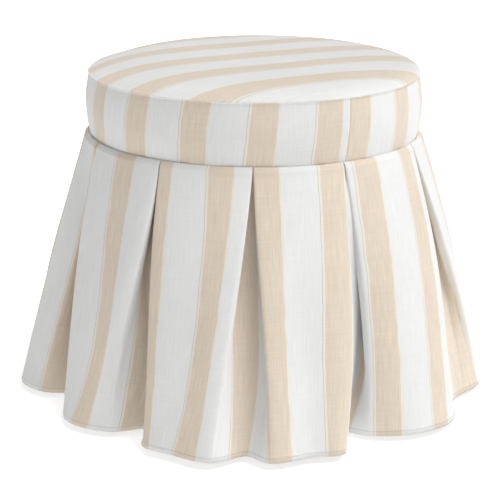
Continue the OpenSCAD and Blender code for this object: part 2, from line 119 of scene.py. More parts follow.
# Where the hem lies at four places of each pleat, as shares of the flare and of a pleat's
# angle: behind the pleat, at the panel's left side, at its middle and at its right side
HEM_REACH_SHARES = [
    (0.85, 1.04, 0.95, 0.93),
    (0.35, 0.62, 0.87, 0.92),
    (0.65, 0.79, 0.70, 0.76),
    (0.42, 0.80, 1.00, 0.77),
    (0.47, 0.86, 1.00, 0.90),
    (0.42, 0.80, 1.05, 0.95),
    (0.55, 0.92, 1.03, 0.88),
    (0.40, 0.78, 0.94, 0.82),
    (0.30, 0.50, 0.81, 0.68),
    (0.31, 0.71, 0.84, 0.73),
    (0.45, 0.86, 0.96, 1.07),
]
HEM_SWING_SHARES = [
    (-0.02, -0.115, -0.10, -0.12),
    (-0.25, -0.32, -0.29, -0.20),
    (-0.06, 0.06, 0.26, 0.12),
    (0.06, 0.05, 0.03, 0.03),
    (0.05, 0, -0.03, 0),
    (0, -0.06, 0, 0.06),
    (-0.03, -0.06, 0.03, 0.06),
    (0.03, 0, 0, 0.08),
    (-0.02, -0.08, 0.18, 0.23),
    (0.15, 0.18, 0.17, 0.19),
    (0.12, 0.035, 0, 0.02),
]
# How far the cloth bows to the right on its way down, and how far the pleat lines stray at the seam
BOW_SHARES = [
    (0.06, 0.02, -0.03, 0.01),
    (0.22, 0.04, -0.01, -0.04),
    (0.05, 0.02, 0.04, 0.04),
    (0, 0.02, 0.03, 0.01),
    (0.03, 0, -0.02, 0),
    (0, 0.03, 0, -0.03),
    (-0.02, 0, 0.03, 0.02),
    (0.02, 0.03, 0, 0),
    (0, 0.04, 0.11, 0.04),
    (0, 0.04, 0.15, -0.01),
    (0.21, 0.03, 0.06, -0.01),
]
LINE_SHARES = [0.01, -0.07, 0.03, 0.02, 0.03, -0.02, -0.03, 0.02, 0.01, 0.06, 0.07]

# How far the stripes stray to the right on the gathered cloth, and how far the cloth is drawn in and
# turns to the right along the round a third of the way down, in mm at the same four places
STRAY = {0: (0, 0, 5, 8), 1: (30, 0, 0, -20), 2: (6, 27, 27, 15), 8: (0, -8, -8, -5), 9: (-5, 0, 0, 0),
         10: (0, 3, 0, 0)}
DRAWN_IN = {1: (-18, 0, 0, 0), 8: (0, 0, 3, 11), 9: (9, 0, 8, -7)}
TURNED = {0: (0, 0, -2, -3), 1: (-2, 3, 0, -3), 9: (0, 0, -2, 9), 10: (2, 0, 8, 0)}

# The cloth's woven stripes: a tan stripe starts this far right of the front pleat's line
STRIPE_REPEAT = 89.8 * MM
STRIPE_TAN = 35 * MM
STRIPE_START = 58.7 * MM
THREAD = 0.55 * MM

# Colours
WHITE = (0.75, 0.75, 0.743, 1)
TAN_DARK, TAN_LIGHT = (0.67, 0.575, 0.468, 1), (0.72, 0.625, 0.514, 1)
CREAM = (0.77, 0.73, 0.655, 1)
LINE = (0.58, 0.54, 0.47, 1)
LINING_WHITE = (0.74, 0.72, 0.66, 1)
BURLAP_BROWN = (0.50, 0.37, 0.21, 1)
CAMBRIC_BLACK = (0.028, 0.028, 0.03, 1)
# The darkest jute colour stands for the slubs' tone and for painted shade between the threads.
JUTE_GAP_SHADE_AND_SLUB, JUTE_LIGHT, JUTE_EDGE = (0.30, 0.20, 0.10, 1), (0.60, 0.45, 0.26, 1), (0.10, 0.05, 0.04, 1)
WADDING_DARK, WADDING_LIGHT = (0.72, 0.72, 0.71, 1), (0.88, 0.88, 0.87, 1)
# The foam's last colour is painted shade in the hollows of its cells.
FOAM_DARK, FOAM_LIGHT, FOAM_HOLLOW_SHADE = (0.74, 0.66, 0.38, 1), (0.86, 0.80, 0.52, 1), (0.42, 0.34, 0.16, 1)
PINE_DARK, PINE_LIGHT = (0.50, 0.33, 0.16, 1), (0.74, 0.57, 0.35, 1)
LEG_DARK, LEG_LIGHT = (0.10, 0.045, 0.018, 1), (0.24, 0.125, 0.055, 1)
VENEER_DARK, VENEER_LIGHT = (0.55, 0.38, 0.20, 1), (0.74, 0.57, 0.36, 1)
PLY_DARK, PLY_LIGHT, PLY_END = (0.42, 0.27, 0.14, 1), (0.72, 0.56, 0.36, 1), (0.30, 0.18, 0.09, 1)
BOARD_DARK, BOARD_LIGHT = (0.30, 0.19, 0.11, 1), (0.40, 0.27, 0.16, 1)
CARD_DARK, CARD_LIGHT = (0.42, 0.34, 0.25, 1), (0.55, 0.46, 0.35, 1)
NYLON_DARK, NYLON_LIGHT = (0.030, 0.025, 0.023, 1), (0.060, 0.052, 0.048, 1)
ZINC_DARK, ZINC_LIGHT = (0.50, 0.50, 0.49, 1), (0.68, 0.68, 0.66, 1)


# Camera, floor and light

CAMERA_PLACE = (0, -2.182, 0.851)
CAMERA_PITCH, CAMERA_ROLL, CAMERA_YAW = radians(17.20), radians(0.47), radians(-0.103)
SENSOR_WIDTH, LENS = 36, 115.56
FLOOR_REACH, FLOOR_GREY, FLOOR_ROUGHNESS, FLOOR_GLOW = 8, 0.6, 0.9, 0.68
LAMP_STRENGTH, LAMP_BREADTH, LAMP_DISTANCE = 2.65, radians(38), 4
LAMP_HEIGHT, LAMP_SIDE = radians(62), radians(75)
ROOM_STRENGTH = 0.42


def new_object(name, data):
    """A new object in the scene."""
    made = bpy.data.objects.new(name, data)
    bpy.context.collection.objects.link(made)
    return made


def make_camera():
    """A long lens a little above the seat, looking down at it."""
    data = bpy.data.cameras.new("camera")
    data.sensor_width = SENSOR_WIDTH
    data.lens = LENS
    camera = new_object("camera", data)
    camera.location = CAMERA_PLACE
    turn = Matrix.Rotation(-CAMERA_YAW, 3, "Z") @ Matrix.Rotation(pi / 2 - CAMERA_PITCH, 3, "X")
    camera.rotation_euler = (turn @ Matrix.Rotation(CAMERA_ROLL, 3, "Z")).to_euler()
    bpy.context.scene.camera = camera


def make_floor():
    """A wide pale floor that glows a little, so that shadows on it stay faint."""
    bm = bmesh.new()
    bmesh.ops.create_grid(bm, x_segments=1, y_segments=1, size=FLOOR_REACH)
    mesh = bpy.data.meshes.new("floor")
    bm.to_mesh(mesh)
    bm.free()
    floor_piece = new_object("floor", mesh)
    material = bpy.data.materials.new("pale_floor")
    material.use_nodes = True
    shader = material.node_tree.nodes["Principled BSDF"]
    shader.inputs["Base Color"].default_value = (FLOOR_GREY, FLOOR_GREY, FLOOR_GREY, 1)
    shader.inputs["Roughness"].default_value = FLOOR_ROUGHNESS
    shader.inputs["Emission Color"].default_value = (1, 1, 1, 1)
    shader.inputs["Emission Strength"].default_value = FLOOR_GLOW
    mesh.materials.append(material)


def make_lights():
    """A broad soft lamp high on the right, and a bright white room."""
    data = bpy.data.lights.new("key_light", "SUN")
    data.energy = LAMP_STRENGTH
    data.angle = LAMP_BREADTH
    lamp = new_object("key_light", data)
    level = cos(LAMP_HEIGHT)
    towards = Vector((level * sin(LAMP_SIDE), -level * cos(LAMP_SIDE), sin(LAMP_HEIGHT)))
    lamp.location = towards * LAMP_DISTANCE
    lamp.rotation_euler = towards.to_track_quat("Z", "Y").to_euler()
    world = bpy.data.worlds.new("room")
    world.use_nodes = True
    world.node_tree.nodes["Background"].inputs["Color"].default_value = (1, 1, 1, 1)
    world.node_tree.nodes["Background"].inputs["Strength"].default_value = ROOM_STRENGTH
    bpy.context.scene.world = world
    bpy.context.scene.view_settings.view_transform = "Standard"


# Node helpers

class Net:
    """Adds nodes to a tree and joins them by name."""

    def __init__(self, tree):
        self.tree = tree

    def add(self, kind, inputs=(), **settings):
        node = self.tree.nodes.new(kind)
        for key, value in settings.items():
            setattr(node, key, value)
        for key, value in dict(inputs).items():
            self.set(value, node.inputs[key])
        return node

    def set(self, value, socket):
        """Sets a socket: joins it to another socket, or gives it a plain value."""
        if isinstance(value, bpy.types.NodeSocket):
            self.tree.links.new(value, socket)
        else:
            socket.default_value = value

    def math(self, operation, *values):
        return self.add("ShaderNodeMath", enumerate(values), operation=operation).outputs[0]

    def plus(self, first, second):
        return self.math("ADD", first, second)

    def less(self, first, second):
        return self.math("SUBTRACT", first, second)

    def times(self, first, second):
        return self.math("MULTIPLY", first, second)

    def mix(self, share, first, second, blend="MIX"):
        names = {0: share, 6: first, 7: second}
        return self.add("ShaderNodeMix", names, data_type="RGBA", blend_type=blend).outputs[2]

    def ramp(self, value, low, high, out_low=0, out_high=1):
        names = {"Value": value, "From Min": low, "From Max": high, "To Min": out_low, "To Max": out_high}
        return self.add("ShaderNodeMapRange", names, interpolation_type="SMOOTHSTEP").outputs[0]

    def window(self, value, start, full, fade, end):
        """1 between full and fade, and 0 outside start and end."""
        return self.times(self.ramp(value, start, full), self.ramp(value, fade, end, 1, 0))

    def noise(self, place, scale, detail=2.0, rough=0.5):
        names = {"Vector": place, "Scale": scale, "Detail": detail, "Roughness": rough}
        return self.add("ShaderNodeTexNoise", names).outputs["Fac"]

    def swing(self, place, scale, width, detail=2.0):
        """Noise that swings to both sides of nothing, over a width."""
        value = self.noise(self.stretch(place, scale), 1, detail)
        return self.times(self.less(value, 0.5), width)

    def sum(self, first, first_share, second, second_share):
        """Two values added in shares."""
        return self.plus(self.times(first, first_share), self.times(second, second_share))

    def stretch(self, place, scale):
        return self.add("ShaderNodeMapping", {"Vector": place, "Scale": scale}).outputs[0]

    def split(self, place):
        return self.add("ShaderNodeSeparateXYZ", {0: place}).outputs

    def group(self, tree, **inputs):
        return self.add("ShaderNodeGroup", inputs, node_tree=tree).outputs


def new_group(name, values, outputs):
    """An empty node group that takes a place and named values: its tree, net, input and output."""
    tree = bpy.data.node_groups.new(name, "ShaderNodeTree")
    tree.interface.new_socket(name="Place", in_out="INPUT", socket_type="NodeSocketVector")
    for label, value in values.items():
        socket = tree.interface.new_socket(name=label, in_out="INPUT", socket_type="NodeSocketFloat")
        socket.default_value = value
    for label in outputs:
        tree.interface.new_socket(name=label, in_out="OUTPUT", socket_type="NodeSocketFloat")
    net = Net(tree)
    return tree, net, net.add("NodeGroupInput").outputs, net.add("NodeGroupOutput").inputs


def make_weave_group():
    """Plain weave with uneven threads: a height for bumps and a shade for the slubs."""
    values = {"Thread": THREAD, "Slub": 0.5}
    tree, net, given, result = new_group("plain_weave", values, ["Height", "Shade"])
    wander, wander_threads = (160, 160, 160), 1.1
    crossing, under = 0.4, 0.45
    long_slub, cross_slub, slub_detail, slub_rough = (620, 26, 1), (22, 560, 1), 3, 0.65
    long_share, cross_share = 0.7, 0.3
    height_gain, shade_gain = 2.5, 2
    place, thread = given["Place"], given["Thread"]
    x, y, _ = net.split(place)
    drift = net.swing(place, wander, net.times(thread, wander_threads))
    across = net.math("DIVIDE", net.plus(x, drift), thread)
    along = net.math("DIVIDE", net.less(y, drift), thread)
    warp = net.math("SINE", net.times(across, pi))
    weft = net.math("SINE", net.times(along, pi))
    over = net.times(warp, weft)
    warp_high = net.ramp(over, -crossing, crossing, under, 1)
    weft_high = net.ramp(over, -crossing, crossing, 1, under)
    woven = net.math("MAXIMUM", *[net.times(net.math("ABSOLUTE", wave), high)
                                  for wave, high in ((warp, warp_high), (weft, weft_high))])
    long_slubs = net.noise(net.stretch(place, long_slub), 1, slub_detail, slub_rough)
    cross_slubs = net.noise(net.stretch(place, cross_slub), 1, slub_detail, slub_rough)
    slubs = net.sum(long_slubs, long_share, cross_slubs, cross_share)
    spread_out = net.times(net.less(slubs, 0.5), given["Slub"])
    net.set(net.plus(woven, net.times(spread_out, height_gain)), result["Height"])
    net.set(net.plus(net.times(spread_out, shade_gain), 0.5), result["Shade"])
    return tree


def make_stripe_group():
    """Woven stripes: shares of tan, of the cream edges and of the thin dark line."""
    values = {"Start": 0, "Repeat": STRIPE_REPEAT, "Width": STRIPE_TAN}
    tree, net, given, result = new_group("woven_stripes", values, ["Tan", "Cream", "Line"])
    waver, waver_width, waver_detail = (10, 26, 1), 5 * MM, 3
    ragged, ragged_width = (300, 900, 1), 1.2 * MM
    tan_full, tan_fade, tan_end = 0.6 * MM, -0.8 * MM, 0.4 * MM
    right_cream = (-1 * MM, 0, 1.6 * MM, 3.4 * MM)
    left_full, left_end = 2.4 * MM, 3.2 * MM
    dark_line = (2.5 * MM, 2.9 * MM, 3.3 * MM, 3.9 * MM)
    place = given["Place"]
    moved = net.plus(net.split(place)[0], net.swing(place, waver, waver_width, waver_detail))
    past_start = net.math("FLOORED_MODULO", net.less(moved, given["Start"]), given["Repeat"])
    frayed = net.plus(past_start, net.swing(place, ragged, ragged_width))
    past_end = net.less(frayed, given["Width"])
    to_next = net.less(given["Repeat"], past_start)
    tan = net.times(net.ramp(frayed, 0, tan_full), net.ramp(past_end, tan_fade, tan_end, 1, 0))
    left_cream = net.ramp(to_next, left_full, left_end, 1, 0)
    cream = net.math("MAXIMUM", left_cream, net.window(past_end, *right_cream))
    net.set(tan, result["Tan"])
    net.set(cream, result["Cream"])
    net.set(net.window(to_next, *dark_line), result["Line"])
    return tree


def make_hem_group():
    """The blind-stitched line of a hem, a little above the edge."""
    tree, net, given, result = new_group("hem_stitch", {"Above": 6 * MM}, ["Groove"])
    waver, waver_width = (30, 1, 1), 1.6 * MM
    groove_full, groove_end = 0.3 * MM, 1.1 * MM
    stitch, between_stitches = 4 * MM, 0.55
    x, y, _ = net.split(given["Place"])
    wavered = net.plus(y, net.swing(given["Place"], waver, waver_width))
    off = net.math("ABSOLUTE", net.less(wavered, given["Above"]))
    step = net.math("ABSOLUTE", net.math("SINE", net.times(x, pi / stitch)))
    line = net.ramp(off, groove_full, groove_end, 1, 0)
    net.set(net.times(line, net.ramp(step, 0, 1, between_stitches, 1)), result["Groove"])
    return tree


def make_speck_group():
    """Uneven specks, fibres or clouds at two sizes."""
    values = {"Coarse": 60, "Fine": 600}
    tree, net, given, result = new_group("fine_specks", values, ["Height", "Shade"])
    coarse_detail, fine_detail, rough = 4, 3, 0.6
    coarse_share, fine_share = 0.6, 0.4
    dark_below, light_above = 0.32, 0.68
    broad = net.noise(given["Place"], given["Coarse"], coarse_detail, rough)
    fine = net.noise(given["Place"], given["Fine"], fine_detail, rough)
    both = net.sum(broad, coarse_share, fine, fine_share)
    net.set(net.ramp(both, dark_below, light_above), result["Shade"])
    net.set(both, result["Height"])
    return tree


def make_grain_group():
    """Wood grain along the least stretched axis of its place: wandering rings and short pores."""
    tree, net, given, result = new_group("wood_grain", {}, ["Shade"])
    ring_scale, ring_detail, ring_count = 0.5, 3, 26
    pore_scale, pore_detail, pore_rough = 9, 3, 0.7
    pore_dark, pore_light = 0.35, 0.6
    wander = net.noise(given["Place"], ring_scale, ring_detail)
    rings = net.math("ABSOLUTE", net.math("SINE", net.times(wander, ring_count)))
    pores = net.noise(given["Place"], pore_scale, pore_detail, pore_rough)
    net.set(net.sum(rings, 0.5, net.ramp(pores, pore_dark, pore_light), 0.5), result["Shade"])
    return tree


WEAVE = make_weave_group()
SPECKS = make_speck_group()
GRAIN = make_grain_group()
STRIPES = make_stripe_group()
HEM_STITCH = make_hem_group()


# Materials

MATT_SPECULAR = 0.25
SHEEN_ROUGHNESS = 0.45


def new_material(name, roughness, sheen=0.0):
    material = bpy.data.materials.new(name)
    material.use_nodes = True
    shader = material.node_tree.nodes["Principled BSDF"]
    shader.inputs["Roughness"].default_value = roughness
    shader.inputs["Specular IOR Level"].default_value = MATT_SPECULAR
    if sheen:
        shader.inputs["Sheen Weight"].default_value = sheen
        shader.inputs["Sheen Roughness"].default_value = SHEEN_ROUGHNESS
    return material, Net(material.node_tree), shader


def cloth_map(net):
    return net.add("ShaderNodeUVMap", uv_map="cloth").outputs[0]


def object_map(net):
    return net.add("ShaderNodeTexCoord").outputs["Object"]


def set_looks(net, shader, colour, height, depth, strength):
    """Joins a colour and a bump of some depth to a material's shader."""
    net.set(colour, shader.inputs["Base Color"])
    bump = net.add("ShaderNodeBump", {"Height": height, "Distance": depth, "Strength": strength})
    net.set(bump.outputs[0], shader.inputs["Normal"])


def striped_linen(name, start, repeat=STRIPE_REPEAT, hem=False):
    """The cover cloth: white with sand stripes. Its map is in metres: x across the stripes."""
    tan_threads = (0.3, 0.7)
    thread_shade = (0.1, 0.9, 0.89, 1.07)
    blotch_scale, blotch_shade = 9, (0.3, 0.7, 0.98, 1.015)
    groove_painted_shade, stitch_depth = 0.84, 2.5
    material, net, shader = new_material(name, roughness=0.85, sheen=0.45)
    place = cloth_map(net)
    stripes = net.group(STRIPES, Place=place, Start=start, Repeat=repeat)
    weave = net.group(WEAVE, Place=place, Thread=THREAD, Slub=0.5)
    colour = net.mix(stripes["Cream"], WHITE, CREAM)
    colour = net.mix(stripes["Line"], colour, LINE)
    tan = net.mix(net.ramp(weave["Shade"], *tan_threads), TAN_DARK, TAN_LIGHT)
    colour = net.mix(stripes["Tan"], colour, tan)
    blotches = net.ramp(net.noise(place, blotch_scale), *blotch_shade)
    shade = net.times(net.ramp(weave["Shade"], *thread_shade), blotches)
    height = weave["Height"]
    if hem:
        groove = net.group(HEM_STITCH, Place=place)["Groove"]
        # Painted shade along the hem's stitch groove: the colour darkens where the cloth dips in.
        shade = net.times(shade, net.ramp(groove, 0, 1, 1, groove_painted_shade))
        height = net.less(height, net.times(groove, stitch_depth))
    tint = net.add("ShaderNodeCombineXYZ", {0: shade, 1: shade, 2: shade}).outputs[0]
    colour = net.mix(1.0, colour, tint, "MULTIPLY")
    set_looks(net, shader, colour, height, depth=0.18 * MM, strength=0.5)
    return material


def woven_colour(net, weave, dark, light):
    """A cloth's colour: the slubs' own tone, and painted shade between its threads, where the weave is low.
    """
    gap_shade_share, dark_below, light_above = 0.5, 0.2, 1.3
    raised = net.plus(net.times(weave["Height"], gap_shade_share), weave["Shade"])
    return net.mix(net.ramp(raised, dark_below, light_above), dark, light)


def plain_cloth(name, colour, thread, slub, depth):
    """A plain woven cloth of one colour with uneven threads, and painted shade between them."""
    # The darker end stands for the slubs' tone and for painted shade between the threads.
    gap_shade_and_slub_share = 0.72
    material, net, shader = new_material(name, roughness=0.9, sheen=0.08)
    weave = net.group(WEAVE, Place=cloth_map(net), Thread=thread, Slub=slub)
    dark = tuple(channel * gap_shade_and_slub_share for channel in colour[:3]) + (1,)
    set_looks(net, shader, woven_colour(net, weave, dark, colour), weave["Height"], depth, strength=0.8)
    return material


def lining_material():
    return plain_cloth("lining_cotton", LINING_WHITE, thread=0.5 * MM, slub=0.25, depth=0.25 * MM)


def burlap_material():
    return plain_cloth("deck_burlap", BURLAP_BROWN, thread=1.6 * MM, slub=0.9, depth=0.5 * MM)


def cambric_material():
    return plain_cloth("dust_cambric", CAMBRIC_BLACK, thread=0.7 * MM, slub=0.3, depth=0.15 * MM)


def webbing_material():
    """Jute webbing with a dark thread along each edge."""
    edge_place, edge_full, edge_end, edge_share = 19 * MM, 0.9 * MM, 1.5 * MM, 0.85
    material, net, shader = new_material("jute_strap", roughness=0.9)
    place = cloth_map(net)
    weave = net.group(WEAVE, Place=place, Thread=1.3 * MM, Slub=0.7)
    # Painted shade between the threads, together with the slubs' own tone.
    colour = woven_colour(net, weave, JUTE_GAP_SHADE_AND_SLUB, JUTE_LIGHT)
    from_middle = net.math("ABSOLUTE", net.split(place)[0])
    off = net.math("ABSOLUTE", net.less(from_middle, edge_place))
    colour = net.mix(net.ramp(off, edge_full, edge_end, edge_share, 0), colour, JUTE_EDGE)
    set_looks(net, shader, colour, weave["Height"], depth=0.4 * MM, strength=0.8)
    return material


def speckled(name, dark, light, roughness, coarse, fine, depth, strength=0.5, sheen=0.0, polish=None):
    """A finish of specks, fibres or clouds. polish holds its roughness where it is dark and light."""
    material, net, shader = new_material(name, roughness, sheen)
    specks = net.group(SPECKS, Place=object_map(net), Coarse=coarse, Fine=fine)
    if polish:
        net.set(net.ramp(specks["Shade"], 0, 1, *polish), shader.inputs["Roughness"])
    set_looks(net, shader, net.mix(specks["Shade"], dark, light), specks["Height"], depth, strength)
    return material


def wadding_material():
    """Loose white fibres, matted together."""
    return speckled("white_wadding", WADDING_DARK, WADDING_LIGHT, roughness=0.95, coarse=90, fine=700,
                    depth=1.2 * MM, strength=0.8, sheen=0.3)


def pressed_material(name, dark, light, roughness):
    """Board or card pressed from fibres."""
    return speckled(name, dark, light, roughness, coarse=60, fine=900, depth=0.08 * MM)


def nylon_material():
    """Moulded dark nylon, a little scuffed."""
    return speckled("dark_nylon", NYLON_DARK, NYLON_LIGHT, roughness=0.5, coarse=150, fine=1500,
                    depth=0.03 * MM, polish=(0.42, 0.62))


def zinc_material():
    """Zinc-plated steel, slightly clouded."""
    material = speckled("zinc_plate", ZINC_DARK, ZINC_LIGHT, roughness=0.35, coarse=120, fine=1200,
                        depth=0.02 * MM, strength=0.4, polish=(0.46, 0.28))
    material.node_tree.nodes["Principled BSDF"].inputs["Metallic"].default_value = 1
    return material


def foam_material():
    """Pale yellow foam with open cells, and painted shade in the cells' hollows."""
    hollow_end, wall_start, hollow_shade_share = 0.1, 0.5, 0.5
    material, net, shader = new_material("yellow_foam", roughness=0.95)
    place = object_map(net)
    cells = net.add("ShaderNodeTexVoronoi", {"Vector": place, "Scale": 700}).outputs["Distance"]
    specks = net.group(SPECKS, Place=place, Coarse=14, Fine=300)
    colour = net.mix(specks["Shade"], FOAM_DARK, FOAM_LIGHT)
    # Painted shade: the cells' hollows are darkened towards brown, where the bump is lowest.
    shaded_hollow = net.mix(hollow_shade_share, colour, FOAM_HOLLOW_SHADE)
    colour = net.mix(net.ramp(cells, hollow_end, wall_start), shaded_hollow, colour)
    set_looks(net, shader, colour, cells, depth=0.5 * MM, strength=0.7)
    return material


def wood_material(name, dark, light, stretch, roughness):
    """Planed wood whose grain runs along the piece."""
    duller, shinier = 0.1, 0.05
    material, net, shader = new_material(name, roughness)
    grain = net.group(GRAIN, Place=net.stretch(object_map(net), stretch))["Shade"]
    net.set(net.ramp(grain, 0, 1, roughness + duller, roughness - shinier), shader.inputs["Roughness"])
    set_looks(net, shader, net.mix(grain, dark, light), grain, depth=0.15 * MM, strength=0.5)
    return material


def plywood_material():
    """Raw plywood: veneer grain on its faces and thin plies along its sawn edges."""
    ply, ply_dark, ply_light = 2.8 * MM, 1.3 * MM, 1.5 * MM
    edge_below, face_above = 0.6, 0.8
    grain_stretch, end_stretch, end_shade = (5, 60, 60), (400, 400, 60), (0.3, 0.7, 0.35, 0)
    material, net, shader = new_material("raw_plywood", roughness=0.75)
    place = object_map(net)
    normal = net.add("ShaderNodeNewGeometry").outputs["Normal"]
    face = net.ramp(net.math("ABSOLUTE", net.split(normal)[2]), edge_below, face_above)
    grain = net.group(GRAIN, Place=net.stretch(place, grain_stretch))["Shade"]
    height_in_ply = net.math("FLOORED_MODULO", net.split(place)[2], ply)
    end = net.noise(net.stretch(place, end_stretch), 1)
    edge = net.mix(net.ramp(height_in_ply, ply_dark, ply_light), PLY_DARK, PLY_LIGHT)
    edge = net.mix(net.ramp(end, *end_shade), edge, PLY_END)
    veneer = net.mix(grain, VENEER_DARK, VENEER_LIGHT)
    colour = net.mix(face, edge, veneer)
    set_looks(net, shader, colour, net.plus(grain, end), depth=0.12 * MM, strength=0.4)
    return material


# Helpers for shapes

def eased(value, low, high):
    """0 below low, 1 above high and smooth between them."""
    t = min(1, max(0, (value - low) / (high - low)))
    return t * t * (3 - 2 * t)


def polar(radius, turn):
    """A place on the plan at an angle from the front, in degrees to the right."""
    return Vector((radius * sin(radians(turn)), -radius * cos(radians(turn))))


def put(bm, name, material, slot, *replaced):
    """Makes a piece from a bmesh: it rides on the body and stands for CAD nodes."""
    mesh = bpy.data.meshes.new(name)
    bm.to_mesh(mesh)
    bm.free()
    mesh.shade_smooth()
    piece = new_object(name, mesh)
    mesh.materials.append(material)
    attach(piece, "root")
    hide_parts(*replaced)
    return piece


def wall(piece, thickness, offset=0.0):
    """Gives a sheet its thickness."""
    solid = piece.modifiers.new("thickness", "SOLIDIFY")
    solid.thickness = thickness
    solid.offset = offset
    solid.use_even_offset = False
    return solid


def join_points(bm, distance=SAME_POINT):
    """Makes one point of points that lie together."""
    bmesh.ops.remove_doubles(bm, verts=bm.verts, dist=distance)


def grid(columns, rows, place, flat):
    """A grid of cloth bent to shape: place and flat give each point's place and its map."""
    bm = bmesh.new()
    layer = bm.loops.layers.uv.new("cloth")
    bmesh.ops.create_grid(bm, x_segments=len(columns) - 1, y_segments=len(rows) - 1, size=1)
    spots = {}
    for vert in bm.verts:
        i = round((vert.co.x + 1) / 2 * (len(columns) - 1))
        j = round((vert.co.y + 1) / 2 * (len(rows) - 1))
        spots[vert] = (columns[i], rows[j])
    for face in bm.faces:
        for loop in face.loops:
            loop[layer].uv = flat(*spots[loop.vert])
    for vert, spot in spots.items():
        vert.co = place(*spot)
    return bm


def spread(knots, counts):
    """Values from knot to knot, with a number of even steps between two knots."""
    values = [knots[0]]
    for start, end, count in zip(knots, knots[1:], counts):
        values += [start + (end - start) * (i + 1) / count for i in range(count)]
    return values


# Skirt

def seam_place(cloth):
    """Place along the seam from the pleat's line, and depth behind the panels, of a pleat's cloth."""
    half = PLEAT_CLOTH / 2
    mirrored = cloth > half
    if mirrored:
        cloth = PLEAT_CLOTH - cloth
    inner, outer = FOLD_D - TURN_R, FOLD_GAP / 2 + TURN_R
    if cloth < FOLD_D - TURN_L:
        place, depth = inner * cloth / (FOLD_D - TURN_L), LAYER_STEP + UNDER_STEP
    elif cloth < FOLD_D + TURN_L:
        t = (cloth - FOLD_D + TURN_L) / (2 * TURN_L) * pi
        place, depth = inner + TURN_R * sin(t), LAYER_STEP + UNDER_STEP * (1 + cos(t)) / 2
    elif cloth < 2 * FOLD_D - TURN_L:
        place = inner + (outer - inner) * (cloth - FOLD_D - TURN_L) / (FOLD_D - 2 * TURN_L)
        depth = LAYER_STEP
    elif cloth < 2 * FOLD_D + TURN_L:
        t = (cloth - 2 * FOLD_D + TURN_L) / (2 * TURN_L) * pi
        place, depth = outer - TURN_R * sin(t), LAYER_STEP * (1 + cos(t)) / 2
    else:
        past = (cloth - 2 * FOLD_D - TURN_L) / (half - 2 * FOLD_D - TURN_L)
        place, depth = outer + (PANEL_L / 2 - outer) * past, 0
    return (PANEL_L - place if mirrored else place), depth


def pleat_line(pleat):
    """Angle of a pleat's line at the seam."""
    return PLEAT_TURN + PLEAT_STEP * (pleat + LINE_SHARES[pleat % PLEATS])


def hem_key(quarter):
    """Radius and angle of the hem at a quarter of a pleat, and the angle of the bow above it."""
    pleat = floor(quarter / 4)
    place = quarter - 4 * pleat
    row = pleat % PLEATS
    turn = PLEAT_TURN + PLEAT_STEP * (pleat + place / 4 + HEM_SWING_SHARES[row][place])
    return SEAT_R + FLARE * HEM_REACH_SHARES[row][place], turn, PLEAT_STEP * BOW_SHARES[row][place]


def smooth_between(before, start, end, after, t):
    """A smooth curve from start to end, which heeds the values before and after them."""
    square = before - start * 2.5 + end * 2 - after / 2
    cube = start * 1.5 - before / 2 - end * 1.5 + after / 2
    return start + (end - before) * t / 2 + square * t * t + cube * t ** 3


def hem_place(quarter, pleat):
    """Radius, angle and bow of the hem at any place of a pleat's cloth, in quarters of it."""
    first = 4 * pleat + floor(quarter)
    keys = [hem_key(first + step) for step in (-1, 0, 1, 2)]
    return [smooth_between(*values, quarter - floor(quarter)) for values in zip(*keys)]


def between_keys(table, pleat, quarter):
    """A table's value at any place of a pleat's cloth, in metres."""
    first = floor(quarter)
    start, end = [table.get((pleat + step // 4) % PLEATS, (0, 0, 0, 0))[step % 4]
                  for step in (first, first + 1)]
    return (start + (end - start) * eased(quarter, first, first + 1)) * MM


def strayed(length):
    """The cloth's woven place at a length along the skirt."""
    pleat = floor(length / PLEAT_CLOTH + TINY)
    quarter = 4 * (length / PLEAT_CLOTH - pleat)
    return length - between_keys(STRAY, pleat, quarter)


def ripple(length, share):
    """Small unevenness of hanging cloth."""
    return sum(noise.noise(Vector((length * waves, share * down, place))) * size
               for waves, down, place, size in RIPPLES)


def shoulder_point(turn, along, depth, share):
    """A point above the panels, where the cloth turns in to the band. share is 1 at its upper edge."""
    lean = share * pi / 2
    behind = 1 - eased(min(along, PANEL_L - along), FOLD_D, FOLD_D + FOLD_EASE)
    inner = BAND_R0 + SEAM_CLEAR + (1 - depth / (LAYER_STEP + UNDER_STEP)) * FOLD_ROOM * behind
    radius = inner + (SKIRT_R - depth - inner) * cos(lean)
    turned_up = TURNED_UP * eased(share, TURN_UP_SHARE, 1)
    height = SEAM_Z - SHOULDER_H + (SHOULDER_H + SEAM_CLEAR) * sin(lean) + turned_up
    return Vector((*polar(radius, turn), height))


def skirt_point(length, share):
    """A point of the skirt's cloth. share is 0 at the shoulder, 1 at the hem and below 0 above it."""
    pleat = floor(length / PLEAT_CLOTH + TINY)
    cloth = length - pleat * PLEAT_CLOTH
    quarter = 4 * cloth / PLEAT_CLOTH
    along, depth = seam_place(cloth)
    turn = pleat_line(pleat) + (pleat_line(pleat + 1) - pleat_line(pleat)) * along / PANEL_L
    if share < 0:
        return shoulder_point(turn, along, depth, -share)
    reach, hem_turn, bow = hem_place(quarter, pleat)
    start = SKIRT_R - depth
    radius = start + (reach - start) * (share + SWELL_SHARE * sin(pi * share))
    radius -= depth * PLEAT_HOLLOW * sin(pi * share)
    third = THIRD_PEAK * share * (1 - share) ** 2
    radius -= between_keys(DRAWN_IN, pleat, quarter) * third
    turn += degrees(between_keys(TURNED, pleat, quarter) * third / radius)
    radius += min(1, share * RIPPLE_ONSET) * ripple(length, share)
    turn += (hem_turn - turn) * share + bow * share * sin(pi * share) / BOW_PEAK
    high, low = SEAM_Z - SHOULDER_H, HEM_CLEAR + HEM_LIFT * (reach - SEAT_R) / FLARE
    return Vector((*polar(radius, turn), high + (low - high) * share))


